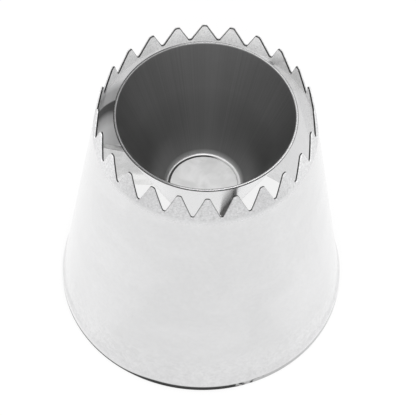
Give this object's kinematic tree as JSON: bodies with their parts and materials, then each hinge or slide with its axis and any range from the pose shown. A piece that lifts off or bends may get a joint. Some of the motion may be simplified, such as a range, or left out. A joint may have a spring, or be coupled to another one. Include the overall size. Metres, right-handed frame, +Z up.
{
  "type": "piping nozzle",
  "caption": "Large sheet-steel ring piping nozzle: a toothed outer cone with a flared, closed cup held inside by flat fins, for piping ring-shaped cookies.",
  "frame": {"origin": "centre of the foot's underside, on the surface the nozzle stands on", "axes": "+Z up along the nozzle's axis, towards the toothed mouth; -Y is the side towards the viewer of the picture"},
  "size_m": [0.052, 0.052, 0.0515],
  "materials": {
    "satin_steel": "satin, with a fine blasted grain on the toothed band",
    "polished_steel": "bright drawn and polished",
    "plain_steel": "bright rolled sheet, heat-tinted towards the cup",
    "weld_metal": "as welded, darkened by its heat"
  },
  "bodies": {
    "root": {"outer_shell": "satin_steel", "inner_cone": "polished_steel", "support_fin_1": "plain_steel", "support_fin_2": "plain_steel", "support_fin_3": "plain_steel", "cone_welds": "weld_metal", "shell_welds": "weld_metal"}
  },
  "joints": []
}
